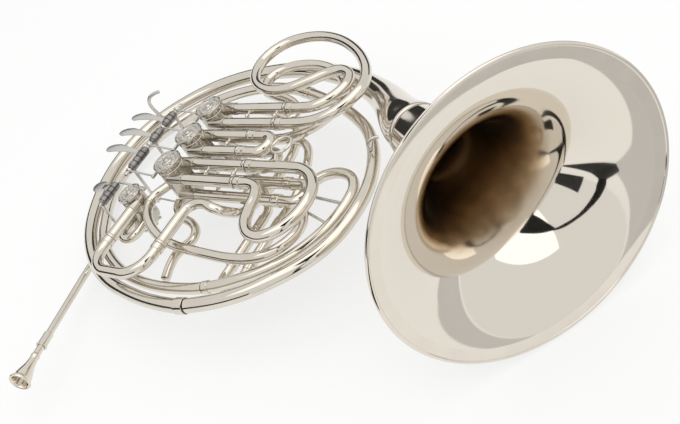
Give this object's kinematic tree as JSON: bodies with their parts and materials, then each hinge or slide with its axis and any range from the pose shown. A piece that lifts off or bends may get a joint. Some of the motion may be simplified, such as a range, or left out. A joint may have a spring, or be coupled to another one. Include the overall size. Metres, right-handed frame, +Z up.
{
  "type": "double french horn",
  "caption": "Double horn of nickel silver with rotary valves, finger levers and links, slides that pull, and a wide flared bell.",
  "frame": {"origin": "centre of the bounding box's bottom, on the table that the horn lies on", "axes": "+Z up from the table; +X from the levers towards the bell; the valves' row runs along Y"},
  "size_m": [0.7378, 0.5414, 0.3081],
  "materials": {
    "polished_bell": "polished and lacquered nickel silver",
    "polished_tube": "polished and lacquered nickel silver tube",
    "valve_metal": "turned nickel silver, slightly dulled",
    "ornamented_cap": "turned cap with shallow rings",
    "satin_metal": "satin nickel"
  },
  "bodies": {
    "horn": {"bell_brace": "satin_metal", "bell_flare": "polished_bell", "bell_tail": "polished_tube", "change_valve_bow": "polished_tube", "change_valve_cap": "ornamented_cap", "change_valve_casing": "valve_metal", "coil_return_tube": "polished_tube", "f_tuning_slide_sleeves": "polished_tube", "first_bb_slide_sleeves": "polished_tube", "first_branch": "polished_tube", "first_f_slide_sleeves": "polished_tube", "first_valve_cap": "ornamented_cap", "first_valve_casing": "valve_metal", "leadpipe": "polished_tube", "leadpipe_brace": "polished_tube", "lever_hinge_rod": "satin_metal", "lever_rack": "satin_metal", "main_slide_left_sleeve": "polished_tube", "main_slide_right_sleeve": "polished_tube", "mouthpiece_receiver": "polished_tube", "pinky_hook": "satin_metal", "second_bb_slide_sleeves": "polished_tube", "second_branch": "polished_tube", "second_f_slide_sleeves": "polished_tube", "second_valve_cap": "ornamented_cap", "second_valve_casing": "valve_metal", "second_valve_tube": "polished_tube", "third_bb_slide_sleeves": "polished_tube", "third_f_slide_sleeves": "polished_tube", "third_valve_cap": "ornamented_cap", "third_valve_casing": "valve_metal", "third_valve_tube": "polished_tube", "thumb_lever_bracket": "satin_metal", "valve_inlet_branch": "polished_tube"},
    "first_lever_body": {"first_lever": "satin_metal"},
    "first_link_body": {"first_link": "satin_metal"},
    "first_rotor_body": {"first_valve_rotor": "valve_metal", "first_valve_stop_arm": "satin_metal"},
    "second_lever_body": {"second_lever": "satin_metal"},
    "second_link_body": {"second_link": "satin_metal"},
    "second_rotor_body": {"second_valve_rotor": "valve_metal", "second_valve_stop_arm": "satin_metal"},
    "third_lever_body": {"third_lever": "satin_metal"},
    "third_link_body": {"third_link": "satin_metal"},
    "third_rotor_body": {"third_valve_rotor": "valve_metal", "third_valve_stop_arm": "satin_metal"},
    "thumb_lever_body": {"thumb_lever": "satin_metal"},
    "thumb_link_body": {"thumb_link": "satin_metal"},
    "thumb_rotor_body": {"change_valve_rotor": "valve_metal", "change_valve_stop_arm": "satin_metal"},
    "first_f_slide_body": {"first_f_slide": "polished_tube", "first_slide_pull_ring": "polished_tube"},
    "second_f_slide_body": {"second_f_slide": "polished_tube"},
    "third_f_slide_body": {"third_f_slide": "polished_tube"},
    "first_bb_slide_body": {"first_bb_slide": "polished_tube"},
    "second_bb_slide_body": {"second_bb_slide": "polished_tube"},
    "third_bb_slide_body": {"third_bb_slide": "polished_tube"},
    "main_tuning_slide_body": {"main_tuning_slide": "polished_tube"},
    "f_tuning_slide_body": {"f_tuning_slide": "polished_tube"},
    "mouthpiece_body": {"mouthpiece": "polished_bell"}
  },
  "joints": [
    {"name": "first_lever_press", "type": "hinge", "parent": "horn", "child": "first_lever_body", "pos_m": [-0.24425, 0.02575, 0.09313], "axis": [0, -1, 0.0002], "range_deg": [0, 14.18], "stiffness_Nm_per_rad": 0.35, "springref_deg": -8.59},
    {"name": "first_link_swing", "type": "hinge", "parent": "first_lever_body", "child": "first_link_body", "pos_m": [-0.24071, 0.01635, 0.03023], "axis": [0, -1, 0.0002], "range_deg": [-14.68, 0.5]},
    {"name": "first_rotor_turn", "type": "hinge", "parent": "horn", "child": "first_rotor_body", "pos_m": [-0.17976, 0.02574, 0.07946], "axis": [-0.1791, 0.0002, 0.9838], "range_deg": [-0.5, 90.5]},
    {"name": "second_lever_press", "type": "hinge", "parent": "horn", "child": "second_lever_body", "pos_m": [-0.24425, 0.07245, 0.09312], "axis": [0, -1, 0.0002], "range_deg": [0, 14.18], "stiffness_Nm_per_rad": 0.35, "springref_deg": -8.59},
    {"name": "second_link_swing", "type": "hinge", "parent": "second_lever_body", "child": "second_link_body", "pos_m": [-0.24071, 0.06305, 0.03023], "axis": [0, -1, 0.0002], "range_deg": [-14.68, 0.5]},
    {"name": "second_rotor_turn", "type": "hinge", "parent": "horn", "child": "second_rotor_body", "pos_m": [-0.17976, 0.07244, 0.07945], "axis": [-0.1791, 0.0002, 0.9838], "range_deg": [-0.5, 90.5]},
    {"name": "third_lever_press", "type": "hinge", "parent": "horn", "child": "third_lever_body", "pos_m": [-0.24425, 0.11915, 0.09312], "axis": [0, -1, 0.0002], "range_deg": [0, 14.18], "stiffness_Nm_per_rad": 0.35, "springref_deg": -8.59},
    {"name": "third_link_swing", "type": "hinge", "parent": "third_lever_body", "child": "third_link_body", "pos_m": [-0.24071, 0.10975, 0.03022], "axis": [0, -1, 0.0002], "range_deg": [-14.68, 0.5]},
    {"name": "third_rotor_turn", "type": "hinge", "parent": "horn", "child": "third_rotor_body", "pos_m": [-0.17976, 0.11914, 0.07944], "axis": [-0.1791, 0.0002, 0.9838], "range_deg": [-0.5, 90.5]},
    {"name": "thumb_lever_press", "type": "hinge", "parent": "horn", "child": "thumb_lever_body", "pos_m": [-0.27466, -0.01355, 0.07032], "axis": [0, -1, 0.0002], "range_deg": [0, 19.47], "stiffness_Nm_per_rad": 0.35, "springref_deg": -8.59},
    {"name": "thumb_link_swing", "type": "hinge", "parent": "thumb_lever_body", "child": "thumb_link_body", "pos_m": [-0.27419, -0.02745, 0.02433], "axis": [0, -1, 0.0002], "range_deg": [-19.97, 0.5]},
    {"name": "thumb_rotor_turn", "type": "hinge", "parent": "horn", "child": "thumb_rotor_body", "pos_m": [-0.22028, -0.01806, 0.06193], "axis": [-0.1791, 0.0002, 0.9838], "range_deg": [-0.5, 90.5]},
    {"name": "first_f_slide_pull", "type": "slide", "parent": "horn", "child": "first_f_slide_body", "axis": [0.9838, 0, 0.1791], "range_m": [0, 0.03]},
    {"name": "second_f_slide_pull", "type": "slide", "parent": "horn", "child": "second_f_slide_body", "axis": [0.9838, 0, 0.1791], "range_m": [0, 0.02]},
    {"name": "third_f_slide_pull", "type": "slide", "parent": "horn", "child": "third_f_slide_body", "axis": [0.9838, 0, 0.1791], "range_m": [0, 0.02]},
    {"name": "first_bb_slide_pull", "type": "slide", "parent": "horn", "child": "first_bb_slide_body", "axis": [0.9838, 0, 0.1791], "range_m": [0, 0.025]},
    {"name": "second_bb_slide_pull", "type": "slide", "parent": "horn", "child": "second_bb_slide_body", "axis": [0.9838, 0, 0.1791], "range_m": [0, 0.02]},
    {"name": "third_bb_slide_pull", "type": "slide", "parent": "horn", "child": "third_bb_slide_body", "axis": [0.9838, 0, 0.1791], "range_m": [0, 0.018]},
    {"name": "main_tuning_slide_pull", "type": "slide", "parent": "horn", "child": "main_tuning_slide_body", "axis": [0, -1, 0.0002], "range_m": [0, 0.035]},
    {"name": "f_tuning_slide_pull", "type": "slide", "parent": "horn", "child": "f_tuning_slide_body", "axis": [0, -1, 0.0002], "range_m": [0, 0.03]},
    {"name": "mouthpiece_pull", "type": "slide", "parent": "horn", "child": "mouthpiece_body", "axis": [0.3106, -0.9356, 0.1678], "range_m": [0, 0.018]}
  ],
  "couplings": [
    {"joint": "first_link_swing", "follows": "first_lever_press", "ratio": -1},
    {"joint": "first_rotor_turn", "follows": "first_lever_press", "ratio": 6.3452},
    {"joint": "second_link_swing", "follows": "second_lever_press", "ratio": -1},
    {"joint": "second_rotor_turn", "follows": "second_lever_press", "ratio": 6.3452},
    {"joint": "third_link_swing", "follows": "third_lever_press", "ratio": -1},
    {"joint": "third_rotor_turn", "follows": "third_lever_press", "ratio": 6.3452},
    {"joint": "thumb_link_swing", "follows": "thumb_lever_press", "ratio": -1},
    {"joint": "thumb_rotor_turn", "follows": "thumb_lever_press", "ratio": 4.6225}
  ]
}
